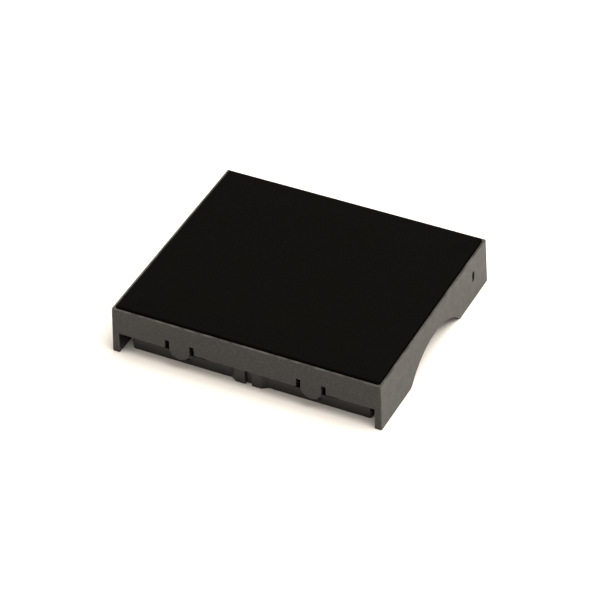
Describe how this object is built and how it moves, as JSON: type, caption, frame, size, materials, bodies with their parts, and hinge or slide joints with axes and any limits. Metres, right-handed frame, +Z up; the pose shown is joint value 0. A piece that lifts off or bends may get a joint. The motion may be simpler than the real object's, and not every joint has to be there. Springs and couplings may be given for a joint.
{
  "type": "stamp ink pad cartridge",
  "caption": "Flat rectangular ink pad cartridge: woven ink pad in a thin-rimmed moulded housing with arched sides, two front snap tabs and a snap-in inner frame.",
  "frame": {"origin": "middle of the footprint, on the surface that the feet stand on", "axes": "+X to the right along the fascia, +Y to the back, +Z up out of the pad"},
  "size_m": [0.07, 0.0604, 0.0134],
  "materials": {
    "housing_plastic": "dark grey, fine matt moulded grain",
    "frame_plastic": "near-black, satin moulded",
    "bond_film": "thin translucent amber adhesive film",
    "felt": "pressed felt soaked with black ink",
    "cover_cloth": "fine plain weave, damp with black ink"
  },
  "bodies": {
    "base": {"inner_frame": "frame_plastic"},
    "cartridge": {"housing": "housing_plastic", "felt_bond_film": "bond_film", "ink_felt": "felt", "pad_cover": "cover_cloth"},
    "left_latch": {"left_snap_tab": "housing_plastic"},
    "right_latch": {"right_snap_tab": "housing_plastic"}
  },
  "joints": [
    {"name": "housing_lift", "type": "slide", "parent": "base", "child": "cartridge", "axis": [0, 0, 1], "range_m": [0, 0.014]},
    {"name": "left_tab_flex", "type": "hinge", "parent": "cartridge", "child": "left_latch", "pos_m": [-0.017, -0.02998, 0.0079], "axis": [-1, 0, 0], "range_deg": [0, 8], "stiffness_Nm_per_rad": 0.65},
    {"name": "right_tab_flex", "type": "hinge", "parent": "cartridge", "child": "right_latch", "pos_m": [0.017, -0.02998, 0.0079], "axis": [-1, 0, 0], "range_deg": [0, 8], "stiffness_Nm_per_rad": 0.65}
  ]
}
